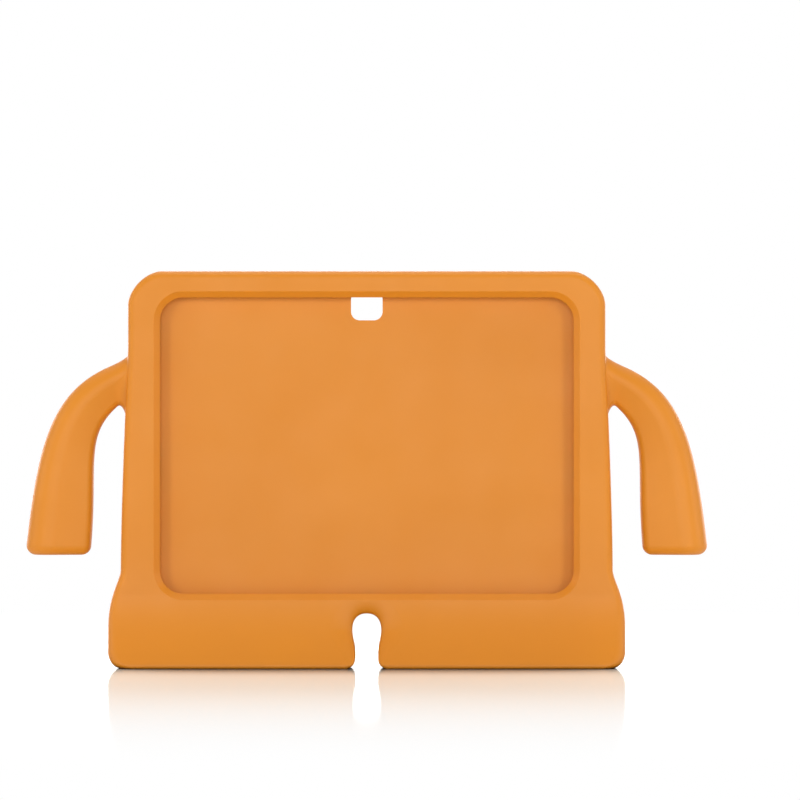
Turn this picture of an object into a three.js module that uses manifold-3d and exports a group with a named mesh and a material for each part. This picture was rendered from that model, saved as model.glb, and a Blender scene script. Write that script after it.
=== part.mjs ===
// Free-standing moulded case for a ten inch tablet: a thick frame on two feet, with two arms.
// Millimetres. The screen looks along -Y, +X is the viewer's right, and +Z is up.
// The origin lies on the ground, midway between the arms and between toe and heel.

import * as THREE from 'three';
import { mergeVertices } from 'three/addons/utils/BufferGeometryUtils.js';
import Module from 'manifold-3d';

const wasm = await Module();
wasm.setup();

// Tablet that the case is moulded for
const tabletWidth = 243.4;
const tabletHeight = 176.4;
const tabletThickness = 8;
const tabletCornerRadius = 14;
const tabletBackEdgeRadius = 2;
const fitClearance = 0.3;

// Walls round the tablet
const pocketFloorHeight = 38.15;
const sideWall = 14;
const topWall = 10.85;
const backWall = 10.9;
const lipThickness = 4.5;
const lipEdgeThickness = 1.1;
const lipCover = 3.8;
const lipBevelWidth = 3.4;
const windowCornerRadius = 13.4;

// Outer form of the frame
const frameCornerRadius = 19;
const frameCornerPower = 1.72;
const frontEdgeRadius = 4.5;
const backEdgeRadius = 6;
const waistHeight = 56;
const waistSpread = 4.2;
const waistSpreadPower = 1.5;
const shoulderDrop = 46;

// Feet
const hipSpread = 7;
const hipEndHeight = 24;
const hipUpperHandle = 6;
const hipLowerHandle = 18;
const footReach = 14.5;
const footFlareHeight = 42;
const footFlarePower = 1.3;
const footEdgeRadius = 8;
const footCornerWidth = 8;
const footCornerHeight = 10;
const soleEdgeRadius = 3;

// Keyhole gap between the feet
const gapHeight = 31;
const gapHeadHalfWidth = 8.2;
const gapHeadHeight = 21.7;
const gapNeckHalfWidth = 6.5;
const gapNeckHeight = 8.1;
const gapFootRadius = 5.5;
const gapFootAngle = 60;
const gapTopRimRadius = 7;
const gapFootRimRadius = 1.2;
const gapRimAngle = 84;
const gapHeadHandles = [5.4, 3.6];
const gapNeckHandles = [5.2, 5.9];

// Arms; a bend holds the shares of a rail's run and drop that its end handles take
const armTopDrop = 50.4;
const armRootHeight = 21.7;
const armReach = 58;
const armRootDepth = 16;
const handHeight = 64.3;
const handWidth = 36.9;
const handDepth = 27;
const armInnerEdgeDepthShare = 0.64;
const armOuterEdgeRadius = 9.5;
const armInnerEdgeRadius = 6;
const handEndRadius = 5.5;
const armOuterBend = { leave: [0.73, 0.122], arrive: [0.122, 0.603] };
const armInnerBend = { leave: [1.263, 0.235], arrive: [0.208, 0.622] };
const armRootSink = 5;
const armRootFilletShare = 0.085;
const armpitFillet = 28;
const armShoulderFillet = 3;
const armSideFillet = 1.2;

// Cut-outs
const cameraDrop = 8.4;
const cameraHoleWidth = 18;
const cameraHoleHeight = 16.7;
const cameraHoleRadius = 5;
const cameraMouthFlare = 2.85;
const keySlotLength = 62;
const keySlotWidth = 7;
const keySlotFromTabletEdge = 21;
const portPassageLength = 12;
const portPassageWidth = 7.5;
const earphoneHoleDiameter = 9;
const earphoneHoleDrop = 24;
const soundSlotLength = 30;
const soundSlotWidth = 5;
const soundSlotHeight = 112;

// Fineness of the facets
const cornerSteps = 5;
const windowCornerSteps = 8;
const holeCornerSteps = 5;
const frameCornerSteps = 11;
const hipSteps = 9;
const torsoSteps = 9;
const soleSteps = 6;
const gapHeadSteps = 8;
const gapNeckSteps = 6;
const gapFootSteps = 5;
const gapRimSteps = 5;
const armSteps = 26;
const armRootSteps = 6;
const handEndSteps = 5;
const past = 4;

// Sizes that follow from the tablet and the walls
const pocketWidth = tabletWidth + 2 * fitClearance;
const pocketHeight = tabletHeight + 2 * fitClearance;
const pocketDepth = tabletThickness + 2 * fitClearance;
const pocketMiddleHeight = pocketFloorHeight + pocketHeight / 2;
const pocketTopHeight = pocketFloorHeight + pocketHeight;
const frameHeight = pocketTopHeight + topWall;
const frameHalfWidth = pocketWidth / 2 + sideWall;
const frameDepth = lipThickness + pocketDepth + backWall;
const frontFace = -frameDepth / 2;
const backFace = frameDepth / 2;
const pocketFront = frontFace + lipThickness;
const pocketBack = backFace - backWall;
const tabletMiddleDepth = (pocketFront + pocketBack) / 2;
const quarterTurn = Math.PI / 2;

// Turns a loft's triangles round where they face inwards
function facingOut(positions, indices) {
  const corners = [new THREE.Vector3(), new THREE.Vector3(), new THREE.Vector3()];
  let volume = 0;
  for (let first = 0; first < indices.length; first += 3) {
    corners.forEach((corner, side) => corner.fromArray(positions, 3 * indices[first + side]));
    volume += corners[0].dot(corners[1].cross(corners[2]));
  }
  return volume < 0 ? indices.reverse() : indices;
}

// Triangles of a flat end, wound the way the ring runs
function endTriangles(ring, flatten) {
  const outline = ring.map(flatten);
  const direction = Math.sign(THREE.ShapeUtils.area(outline));
  return THREE.ShapeUtils.triangulateShape(outline, []).flatMap((triangle) => {
    const turned = Math.sign(THREE.ShapeUtils.area(triangle.map((corner) => outline[corner])));
    return turned === direction ? triangle : triangle.reverse();
  });
}

// Closed geometry through rings of equal point count, with a flat end at the first and the last
function loft(rings, flatten) {
  const count = rings[0].length;
  const positions = rings.flat().flatMap((point) => point.toArray());
  const indices = [];
  for (let ring = 0; ring + 1 < rings.length; ring += 1) {
    for (let step = 0; step < count; step += 1) {
      const here = ring * count + step;
      const beside = ring * count + ((step + 1) % count);
      indices.push(here, beside, beside + count, here, beside + count, here + count);
    }
  }
  const lastRing = (rings.length - 1) * count;
  indices.push(...endTriangles(rings[0], flatten).reverse());
  indices.push(...endTriangles(rings.at(-1), flatten).map((corner) => corner + lastRing));
  const geometry = new THREE.BufferGeometry();
  geometry.setAttribute('position', new THREE.Float32BufferAttribute(positions, 3));
  geometry.setIndex(facingOut(positions, indices));
  return geometry;
}

// Solid of a closed geometry, without the triangles that shrink to a line where points meet
function solidOf(geometry) {
  const merged = mergeVertices(geometry);
  const kept = [];
  for (let first = 0; first < merged.index.count; first += 3) {
    const triangle = Array.from(merged.index.array.slice(first, first + 3));
    if (new Set(triangle).size === 3) kept.push(...triangle);
  }
  const vertProperties = merged.attributes.position.array;
  return new wasm.Manifold(
    new wasm.Mesh({ numProp: 3, vertProperties, triVerts: new Uint32Array(kept) }),
  );
}

function geometryOf(solid) {
  const { vertProperties, triVerts } = solid.getMesh();
  const geometry = new THREE.BufferGeometry();
  geometry.setAttribute('position', new THREE.BufferAttribute(vertProperties, 3));
  geometry.setIndex(new THREE.BufferAttribute(triVerts, 1));
  geometry.computeVertexNormals();
  return geometry;
}

// Points of an arc about a middle, from one angle to another
function arcPoints(middle, radius, startAngle, endAngle, steps) {
  const points = [];
  for (let step = 0; step <= steps; step += 1) {
    const angle = THREE.MathUtils.lerp(startAngle, endAngle, step / steps);
    const reach = new THREE.Vector2(Math.cos(angle), Math.sin(angle)).multiplyScalar(radius);
    points.push(reach.add(middle));
  }
  return points;
}

// Points of a rectangle with round corners about the origin
function roundedRectangle(width, height, radius, steps) {
  return [[1, 1], [-1, 1], [-1, -1], [1, -1]].flatMap(([side, rise], corner) => {
    const middle = new THREE.Vector2(side * (width / 2 - radius), rise * (height / 2 - radius));
    const start = corner * quarterTurn;
    return arcPoints(middle, radius, start, start + quarterTurn, steps);
  });
}

// Places a flat outline across a way along one axis, and lays it flat again
const crossings = {
  x: {
    place: (side, rise, at) => new THREE.Vector3(at, side, rise),
    flatten: ({ y, z }) => new THREE.Vector2(y, z),
  },
  y: {
    place: (side, rise, at) => new THREE.Vector3(side, at, rise),
    flatten: ({ x, z }) => new THREE.Vector2(x, z),
  },
  z: {
    place: (side, rise, at) => new THREE.Vector3(side, rise, at),
    flatten: ({ x, y }) => new THREE.Vector2(x, y),
  },
};

// Solid of a rounded rectangle led along an axis through stages, each with its growth and radius
function tunnel({ axis, middle, width, height, steps, stages }) {
  const { place, flatten } = crossings[axis];
  const rings = stages.map(({ at, grow, radius }) =>
    roundedRectangle(width + 2 * grow, height + 2 * grow, radius, steps).map((point) =>
      place(middle[0] + point.x, middle[1] + point.y, at),
    ),
  );
  return solidOf(loft(rings, flatten));
}

// How far toe and heel reach past the frame's faces at a height
function footFlare(height) {
  const drop = THREE.MathUtils.clamp((footFlareHeight - height) / footFlareHeight, 0, 1);
  return footReach * drop ** footFlarePower;
}

// Distance of the front and back surfaces from the middle plane, with the sole's rounded edge
function faceDistance(height) {
  const below = soleEdgeRadius - THREE.MathUtils.clamp(height, 0, soleEdgeRadius);
  const lost = soleEdgeRadius - Math.sqrt(soleEdgeRadius ** 2 - below ** 2);
  return frameDepth / 2 + footFlare(height) - lost;
}

// Half the frame's width at a height between the waist and the top corners
function sideHalfWidth(height) {
  const shoulderHeight = frameHeight - shoulderDrop;
  const rise = THREE.MathUtils.clamp((height - waistHeight) / (shoulderHeight - waistHeight), 0, 1);
  return frameHalfWidth + waistSpread * (1 - rise ** waistSpreadPower);
}

// Half the width at a height for the outline moved in by an inset, round the top corners too
function insetHalfWidth(level, inset) {
  const cornerMiddle = frameHeight - frameCornerRadius;
  if (level.height <= cornerMiddle) return level.halfWidth - inset;
  const radius = frameCornerRadius - inset;
  const rise = Math.min(1, (level.height - cornerMiddle) / radius);
  const bulge = (1 - rise ** frameCornerPower) ** (1 / frameCornerPower);
  return frameHalfWidth - frameCornerRadius + radius * bulge;
}

// Heights and half widths that the body is lofted through, from the sole to the top
function bodyLevels() {
  const levels = [];
  const hipHalfWidth = sideHalfWidth(waistHeight) + hipSpread;
  for (let step = 0; step < soleSteps; step += 1) {
    const angle = (quarterTurn * step) / soleSteps;
    levels.push({
      height: footCornerHeight * (1 - Math.cos(angle)),
      halfWidth: hipHalfWidth - footCornerWidth * (1 - Math.sin(angle)),
    });
  }
  levels.push({ height: footCornerHeight, halfWidth: hipHalfWidth });
  const hip = new THREE.CubicBezierCurve(
    new THREE.Vector2(hipHalfWidth, hipEndHeight),
    new THREE.Vector2(hipHalfWidth, hipEndHeight + hipLowerHandle),
    new THREE.Vector2(sideHalfWidth(waistHeight), waistHeight - hipUpperHandle),
    new THREE.Vector2(sideHalfWidth(waistHeight), waistHeight),
  );
  hip.getPoints(hipSteps).forEach(({ x, y }) => levels.push({ height: y, halfWidth: x }));
  const cornerMiddle = frameHeight - frameCornerRadius;
  for (let step = 1; step <= torsoSteps; step += 1) {
    const height = THREE.MathUtils.lerp(waistHeight, cornerMiddle, step / torsoSteps);
    levels.push({ height, halfWidth: sideHalfWidth(height) });
  }
  for (let step = 1; step <= frameCornerSteps; step += 1) {
    const angle = (quarterTurn * step) / frameCornerSteps;
    const rise = Math.sin(angle) ** (2 / frameCornerPower);
    levels.push({ height: cornerMiddle + frameCornerRadius * rise, halfWidth: frameHalfWidth });
  }
  return levels;
}

// One quarter of a body section: the edge between a side and the front or back face
function edgePoints(level, edgeRadius, side, facing) {
  const left = frameHeight - level.height;
  const lastAngle = left < edgeRadius ? Math.acos(1 - left / edgeRadius) : quarterTurn;
  const faceMiddle = faceDistance(level.height) - edgeRadius;
  const points = [];
  for (let step = 0; step <= cornerSteps; step += 1) {
    const angle = (lastAngle * step) / cornerSteps;
    const halfWidth = insetHalfWidth(level, edgeRadius * (1 - Math.cos(angle)));
    const depth = faceMiddle + edgeRadius * Math.sin(angle);
    points.push(new THREE.Vector3(side * halfWidth, facing * depth, level.height));
  }
  return points;
}

// Body block with rounded edges, before anything is cut out of it
function bodySolid() {
  const rings = bodyLevels().map((level) => {
    const flare = footFlare(level.height) / footReach;
    const frontRadius = THREE.MathUtils.lerp(frontEdgeRadius, footEdgeRadius, flare);
    const backRadius = THREE.MathUtils.lerp(backEdgeRadius, footEdgeRadius, flare);
    return [
      ...edgePoints(level, frontRadius, 1, -1).reverse(),
      ...edgePoints(level, backRadius, 1, 1),
      ...edgePoints(level, backRadius, -1, 1).reverse(),
      ...edgePoints(level, frontRadius, -1, -1),
    ];
  });
  return solidOf(loft(rings, crossings.z.flatten));
}

// Pocket for the tablet, with the round edge of the tablet's back
function pocketCutter() {
  const stages = [{ at: pocketFront, grow: 0, radius: tabletCornerRadius }];
  for (let step = 0; step <= holeCornerSteps; step += 1) {
    const angle = (quarterTurn * step) / holeCornerSteps;
    const inset = tabletBackEdgeRadius * (1 - Math.cos(angle));
    const at = pocketBack - tabletBackEdgeRadius * (1 - Math.sin(angle));
    stages.push({ at, grow: -inset, radius: tabletCornerRadius - inset });
  }
  return tunnel({
    axis: 'y',
    middle: [0, pocketMiddleHeight],
    width: pocketWidth,
    height: pocketHeight,
    steps: windowCornerSteps,
    stages,
  });
}

// Window over the screen: a straight lip edge at the glass and a flat bevel out to the front
function windowCutter() {
  const bevelDepth = lipThickness - lipEdgeThickness;
  const bevelStart = pocketFront - lipEdgeThickness;
  const grownPast = (lipBevelWidth * (bevelDepth + past)) / bevelDepth;
  return tunnel({
    axis: 'y',
    middle: [0, pocketMiddleHeight],
    width: tabletWidth - 2 * lipCover,
    height: tabletHeight - 2 * lipCover,
    steps: windowCornerSteps,
    stages: [
      { at: tabletMiddleDepth, grow: 0, radius: windowCornerRadius },
      { at: bevelStart, grow: 0, radius: windowCornerRadius },
      { at: frontFace - past, grow: grownPast, radius: windowCornerRadius + grownPast },
    ],
  });
}

// Hole over the tablet's camera, wider at its mouth in the back face
function cameraCutter() {
  const grownPast = (cameraMouthFlare * (backWall + past)) / backWall;
  const grownInside = (cameraMouthFlare * (pocketBack - tabletMiddleDepth)) / backWall;
  return tunnel({
    axis: 'y',
    middle: [0, pocketTopHeight - fitClearance - cameraDrop],
    width: cameraHoleWidth,
    height: cameraHoleHeight,
    steps: holeCornerSteps,
    stages: [
      { at: tabletMiddleDepth, grow: -grownInside, radius: cameraHoleRadius - grownInside },
      { at: backFace + past, grow: grownPast, radius: cameraHoleRadius + grownPast },
    ],
  });
}

// Slots and holes through the walls for the keys, the charging port and the sound
function wallCutters() {
  const slotStages = (start, end, width) => [
    { at: start, grow: 0, radius: width / 2 },
    { at: end, grow: 0, radius: width / 2 },
  ];
  const keySlotMiddle = -tabletWidth / 2 + keySlotFromTabletEdge + keySlotLength / 2;
  const insideWall = pocketWidth / 2 - past;
  const outsideHip = frameHalfWidth + waistSpread + past;
  const keySlot = tunnel({
    axis: 'z',
    middle: [keySlotMiddle, tabletMiddleDepth],
    width: keySlotLength,
    height: keySlotWidth,
    steps: holeCornerSteps,
    stages: slotStages(pocketTopHeight - past, frameHeight + past, keySlotWidth),
  });
  const portPassage = tunnel({
    axis: 'z',
    middle: [0, tabletMiddleDepth],
    width: portPassageLength,
    height: portPassageWidth,
    steps: holeCornerSteps,
    stages: slotStages(gapHeight - past, pocketFloorHeight + past, portPassageWidth),
  });
  const earphoneHole = tunnel({
    axis: 'x',
    middle: [tabletMiddleDepth, pocketTopHeight - earphoneHoleDrop],
    width: earphoneHoleDiameter,
    height: earphoneHoleDiameter,
    steps: holeCornerSteps,
    stages: slotStages(-outsideHip, -insideWall, earphoneHoleDiameter),
  });
  const soundSlots = [-1, 1].map((side) =>
    tunnel({
      axis: 'x',
      middle: [tabletMiddleDepth, soundSlotHeight],
      width: soundSlotWidth,
      height: soundSlotLength,
      steps: holeCornerSteps,
      stages: slotStages(side * insideWall, side * outsideHip, soundSlotWidth),
    }),
  );
  return [keySlot, portPassage, earphoneHole, ...soundSlots];
}

// Right half of the keyhole between the feet, from its top down past the ground
function gapHalfOutline() {
  const top = new THREE.Vector2(0, gapHeight);
  const widest = new THREE.Vector2(gapHeadHalfWidth, gapHeadHeight);
  const neck = new THREE.Vector2(gapNeckHalfWidth, gapNeckHeight);
  const head = new THREE.CubicBezierCurve(
    top,
    new THREE.Vector2(top.x + gapHeadHandles[0], top.y),
    new THREE.Vector2(widest.x, top.y - gapHeadHandles[1]),
    widest,
  );
  const throat = new THREE.CubicBezierCurve(
    widest,
    new THREE.Vector2(widest.x, widest.y - gapNeckHandles[0]),
    new THREE.Vector2(neck.x, neck.y + gapNeckHandles[1]),
    neck,
  );
  const points = [...head.getPoints(gapHeadSteps), ...throat.getPoints(gapNeckSteps).slice(1)];
  for (let step = 1; step <= gapFootSteps; step += 1) {
    const angle = THREE.MathUtils.degToRad((gapFootAngle * step) / gapFootSteps);
    const aside = neck.x + gapFootRadius * (1 - Math.cos(angle));
    points.push(new THREE.Vector2(aside, gapFootRadius * (1 - Math.sin(angle))));
  }
  const end = points.at(-1);
  const lastAngle = THREE.MathUtils.degToRad(gapFootAngle);
  const tangent = new THREE.Vector2(Math.sin(lastAngle), -Math.cos(lastAngle));
  const beyond = end.clone().addScaledVector(tangent, past);
  points.push(beyond, new THREE.Vector2(beyond.x, -past));
  return points;
}

// Cutter for the gap, which spreads into a round rim at the toe and at the heel
function gapCutter() {
  const right = gapHalfOutline();
  const left = right.slice(1).reverse().map(({ x, y }) => new THREE.Vector2(-x, y));
  const outline = [...right, ...left];
  const outward = outline.map((point, place) => {
    const before = outline.at(place - 1);
    const after = outline[(place + 1) % outline.length];
    return new THREE.Vector2(before.y - after.y, after.x - before.x).normalize();
  });
  const ring = (angle, facing, beyond) =>
    outline.map((point, place) => {
      const rise = THREE.MathUtils.clamp(point.y / gapHeight, 0, 1);
      const rim = THREE.MathUtils.lerp(gapFootRimRadius, gapTopRimRadius, rise);
      const spread = rim * (1 - Math.cos(angle));
      const moved = point.clone().addScaledVector(outward[place], spread);
      const depth = faceDistance(moved.y) - rim * (1 - Math.sin(angle)) + beyond;
      return new THREE.Vector3(moved.x, facing * depth, moved.y);
    });
  const angles = [];
  for (let step = 0; step <= gapRimSteps; step += 1) {
    angles.push(THREE.MathUtils.degToRad((gapRimAngle * step) / gapRimSteps));
  }
  const front = [...angles].reverse();
  const rings = [
    ring(front[0], -1, past),
    ...front.map((angle) => ring(angle, -1, 0)),
    ...angles.map((angle) => ring(angle, 1, 0)),
    ring(front[0], 1, past),
  ];
  return solidOf(loft(rings, crossings.y.flatten));
}

// Curve that one edge of an arm follows, in the upright plane
function armRail(start, end, bend) {
  const run = end.x - start.x;
  const drop = start.y - end.y;
  return new THREE.CubicBezierCurve(
    start,
    new THREE.Vector2(start.x + bend.leave[0] * run, start.y - bend.leave[1] * drop),
    new THREE.Vector2(end.x - bend.arrive[0] * run, end.y + bend.arrive[1] * drop),
    end,
  );
}

// Section of an arm: a thick round outer edge, and faces that close in to a slimmer inner edge
function armSection(width, outerDepth, innerDepth, inset) {
  const outerRadius = Math.min(armOuterEdgeRadius - inset, outerDepth / 2);
  const innerRadius = Math.min(armInnerEdgeRadius - inset, innerDepth / 2);
  const outer = new THREE.Vector2(width / 2 - outerRadius, outerDepth / 2 - outerRadius);
  const inner = new THREE.Vector2(innerRadius - width / 2, innerDepth / 2 - innerRadius);
  const apart = inner.clone().sub(outer);
  const faceAngle = apart.angle() - Math.acos((outerRadius - innerRadius) / apart.length());
  const frontHalf = [
    ...arcPoints(outer, outerRadius, 0, faceAngle, cornerSteps),
    ...arcPoints(inner, innerRadius, faceAngle, Math.PI, cornerSteps),
  ];
  const backHalf = frontHalf.map(({ x, y }) => new THREE.Vector2(x, -y)).reverse();
  return [...frontHalf, ...backHalf];
}

// Section set between an arm's rails, grown towards the body and drawn in at the hand's end
function armRing(side, { inner, outer, depth, flare, inset }) {
  const direction = outer.clone().sub(inner).normalize();
  const low = inset - armpitFillet * flare;
  const high = outer.distanceTo(inner) - inset + armShoulderFillet * flare;
  const growth = 2 * (armSideFillet * flare - inset);
  const innerDepth = depth * armInnerEdgeDepthShare;
  return armSection(high - low, depth + growth, innerDepth + growth, inset).map((point) => {
    const place = inner.clone().addScaledVector(direction, (low + high) / 2 + point.x);
    return new THREE.Vector3(side * place.x, point.y, place.y);
  });
}

// Arm that leaves the side of the frame, bends down and ends in a blunt hand
function armSolid(side) {
  const top = frameHeight - armTopDrop;
  const rootOuter = new THREE.Vector2(sideHalfWidth(top), top);
  const rootInner = new THREE.Vector2(rootOuter.x, top - armRootHeight);
  const handOuter = new THREE.Vector2(rootOuter.x + armReach, handHeight + handEndRadius);
  const handInner = new THREE.Vector2(handOuter.x - handWidth, handOuter.y);
  const outerRail = armRail(rootOuter, handOuter, armOuterBend);
  const innerRail = armRail(rootInner, handInner, armInnerBend);
  const stage = (share, flare) => ({
    inner: innerRail.getPoint(share),
    outer: outerRail.getPoint(share),
    depth: THREE.MathUtils.lerp(armRootDepth, handDepth, share),
    flare,
    inset: 0,
  });
  const root = stage(0, 1);
  const sunk = new THREE.Vector2(armRootSink, 0);
  const stages = [{ ...root, inner: rootInner.clone().sub(sunk), outer: rootOuter.clone().sub(sunk) }];
  for (let step = 0; step < armRootSteps; step += 1) {
    const angle = (quarterTurn * step) / armRootSteps;
    stages.push(stage(armRootFilletShare * (1 - Math.cos(angle)), 1 - Math.sin(angle)));
  }
  for (let step = 0; step <= armSteps; step += 1) {
    stages.push(stage(THREE.MathUtils.lerp(armRootFilletShare, 1, step / armSteps), 0));
  }
  for (let step = 1; step <= handEndSteps; step += 1) {
    const angle = (quarterTurn * step) / handEndSteps;
    const lowered = new THREE.Vector2(0, -handEndRadius * Math.sin(angle));
    stages.push({
      ...stages[stages.length - step],
      inner: handInner.clone().add(lowered),
      outer: handOuter.clone().add(lowered),
      inset: handEndRadius * (1 - Math.cos(angle)),
    });
  }
  const rings = stages.map((place) => armRing(side, place));
  return solidOf(loft(rings, ({ x, y, z }) => new THREE.Vector2(side * x - z, y)));
}

function caseSolid() {
  const block = bodySolid().add(armSolid(1)).add(armSolid(-1));
  const cutters = [gapCutter(), pocketCutter(), windowCutter(), cameraCutter(), ...wallCutters()];
  return cutters.reduce((solid, cutter) => solid.subtract(cutter), block);
}

const mouldedRubber = new THREE.MeshStandardMaterial({
  name: 'moulded_rubber',
  color: 0xe28a34,
  roughness: 0.75,
  metalness: 0,
});

const tabletCase = new THREE.Mesh(geometryOf(caseSolid()), mouldedRubber);
tabletCase.name = 'tablet_case';

const group = new THREE.Group();
group.add(tabletCase);

export default group;
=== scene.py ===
import math
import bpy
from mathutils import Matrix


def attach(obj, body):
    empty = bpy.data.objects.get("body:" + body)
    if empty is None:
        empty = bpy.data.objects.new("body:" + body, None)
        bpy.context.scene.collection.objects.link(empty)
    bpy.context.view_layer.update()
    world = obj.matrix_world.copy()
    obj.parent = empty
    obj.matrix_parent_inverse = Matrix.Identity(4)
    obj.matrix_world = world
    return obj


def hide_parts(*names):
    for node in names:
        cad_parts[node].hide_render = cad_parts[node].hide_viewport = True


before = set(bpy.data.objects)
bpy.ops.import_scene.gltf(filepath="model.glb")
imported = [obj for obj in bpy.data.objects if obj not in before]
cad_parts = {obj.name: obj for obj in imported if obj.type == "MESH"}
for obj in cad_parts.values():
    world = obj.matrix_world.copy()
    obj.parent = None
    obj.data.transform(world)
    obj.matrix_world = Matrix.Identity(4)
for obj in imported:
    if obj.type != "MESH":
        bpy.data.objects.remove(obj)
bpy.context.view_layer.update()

from types import SimpleNamespace

import bmesh
import bpy
import numpy as np
from mathutils import Vector

bl_info = {
    "name": "Tablet case",
    "version": (1, 0, 0),
    "blender": (4, 5, 0),
    "location": "3D View > Sidebar > Tablet case",
    "description": "Moulds a free-standing tablet case with feet and arms, and sets a plain studio round it",
    "category": "Add Mesh",
}

CASE_NODE = "tablet_case"
CASE_BODY = "root"
PIECE_NAME = "moulded_case"
RUBBER_NAME = "moulded_silicone_rubber"
SHADED_HOLE_RUBBER_NAME = "painted_shade_silicone_rubber"
QUARTER_TURN = math.pi / 2
MILLIMETRE = 0.001
# The sRGB curve: where its straight part ends, that part's slope, and the offset and power of the rest
SRGB_KNEE, SRGB_SLOPE, SRGB_OFFSET, SRGB_POWER = 0.04045, 12.92, 0.055, 2.4

# Fineness of the mesh
EDGE_STEPS = 10
FRAME_CORNER_STEPS = 30
HIP_STEPS = 24
TORSO_STEPS = 24
SOLE_STEPS = 12
WINDOW_CORNER_STEPS = 20
HOLE_CORNER_STEPS = 12
RIM_STEPS = 6
GAP_HEAD_STEPS = 24
GAP_NECK_STEPS = 18
GAP_FOOT_STEPS = 9
GAP_RIM_STEPS = 10
ARM_STEPS = 56
ARM_ROOT_STEPS = 10
ARM_EDGE_STEPS = 14
HAND_END_STEPS = 9

# Angle to which a rounded rim turns, just short of flush, so that its cutter leaves the surface cleanly
RIM_ANGLE = math.radians(84)
# Angle through which the gap's sides turn out before they meet the ground
GAP_FOOT_TURN = math.radians(60)
# How far cutters reach past the surfaces that they open
PAST = 4 * MILLIMETRE
# Points nearer than this are one, in a lofted shape
SAME_POINT = 1e-7
# Points nearer than this are one, in the swept arms and the cut case
MERGE_DISTANCE = 1e-6
# Edges that turn by more than this are shaded as edges
SHARP_ANGLE = math.radians(38)
# Share of a face's normal along the case's depth past which the face is no wall of a hole
HOLE_TURN = 0.8

# Specular levels of the rubber: outside, and inside the camera hole, where the lower level paints shade onto
# the hole's walls
RUBBER_SHEEN = 0.48
HOLE_PAINTED_SHADE_SHEEN = 0.01


def distance(name, millimetres, description):
    """Length property whose default is given in millimetres"""
    return bpy.props.FloatProperty(
        name=name,
        description=description,
        default=millimetres * MILLIMETRE,
        precision=4,
        unit="LENGTH",
        subtype="DISTANCE",
    )


def share(name, default, description):
    """Plain number property for powers, shares and strengths"""
    return bpy.props.FloatProperty(name=name, description=description, default=default, subtype="FACTOR")


def linear(hex_colour):
    """Linear RGBA of an sRGB hex colour"""
    parts = [int(hex_colour[place:place + 2], 16) / 255 for place in (1, 3, 5)]
    return [
        part / SRGB_SLOPE
        if part <= SRGB_KNEE
        else ((part + SRGB_OFFSET) / (1 + SRGB_OFFSET)) ** SRGB_POWER
        for part in parts
    ] + [1.0]


def colour(name, hex_colour, description):
    """Colour property whose default is an sRGB hex colour"""
    return bpy.props.FloatVectorProperty(
        name=name, description=description, default=linear(hex_colour), size=4, min=0, max=1, subtype="COLOR"
    )


class TabletSizes(bpy.types.PropertyGroup):
    """Inner sizes that the case is moulded to"""

    width: distance("Width", 243.4, "Long side of the tablet")
    height: distance("Height", 176.4, "Short side of the tablet")
    thickness: distance("Thickness", 8, "Thickness of the tablet")
    corner_radius: distance("Corner radius", 14, "Radius of the tablet's corners")
    back_edge: distance("Back edge radius", 2, "Radius round the tablet's back")
    clearance: distance("Clearance", 0.3, "Room between the tablet and the rubber")


class WallSizes(bpy.types.PropertyGroup):
    """Walls and lip round the pocket"""

    floor_height: distance("Pocket height", 38.15, "Height of the pocket's floor above the ground")
    side: distance("Side wall", 14, "Thickness of the walls beside the tablet")
    top: distance("Top wall", 10.85, "Thickness of the wall above the tablet")
    back: distance("Back wall", 10.9, "Thickness of the wall behind the tablet")
    lip: distance("Lip", 4.5, "Thickness of the lip in front of the tablet")
    lip_edge: distance("Lip edge", 1.1, "Straight part of the lip's edge, next to the screen")
    lip_cover: distance("Lip cover", 3.8, "How far the lip covers the tablet's rim")
    bevel_width: distance("Bevel width", 3.4, "Width of the bevel from the lip's edge to the front")
    window_radius: distance("Window radius", 13.4, "Radius of the window's corners at the screen")


class FrameSizes(bpy.types.PropertyGroup):
    """Outer form of the frame"""

    corner_radius: distance("Corner radius", 19, "Reach of the top corners")
    corner_power: share("Corner power", 1.72, "Power of the top corners' curve; 2 is a circle")
    front_edge: distance("Front edge radius", 4.5, "Radius of the edge round the front")
    back_edge: distance("Back edge radius", 6, "Radius of the edge round the back")
    waist_height: distance("Waist height", 56, "Height where the sides turn out into the feet")
    waist_spread: distance("Waist spread", 4.2, "How much wider the frame is at the waist than at the top")
    spread_power: share("Spread power", 1.5, "Power of the sides' curve")
    shoulder_drop: distance("Shoulder drop", 46, "How far below the top the sides start to spread")


class FootSizes(bpy.types.PropertyGroup):
    """The two feet"""

    hip_spread: distance("Hip spread", 7, "How far the feet stand out past the waist")
    hip_end: distance("Hip end", 24, "Height where the hip's curve ends")
    upper_handle: distance("Upper handle", 6, "Length of the hip curve's upper handle")
    lower_handle: distance("Lower handle", 18, "Length of the hip curve's lower handle")
    reach: distance("Reach", 14.5, "How far toe and heel reach past the frame's faces")
    flare_height: distance("Flare height", 42, "Height where toe and heel start to reach out")
    flare_power: share("Flare power", 1.6, "Power of the toe's curve")
    edge: distance("Edge radius", 8, "Radius of the feet's upright edges")
    corner_width: distance("Corner width", 8, "Width of the feet's lower corners")
    corner_height: distance("Corner height", 10, "Height of the feet's lower corners")
    sole_edge: distance("Sole edge radius", 3, "Radius of the edge round the sole")


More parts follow.
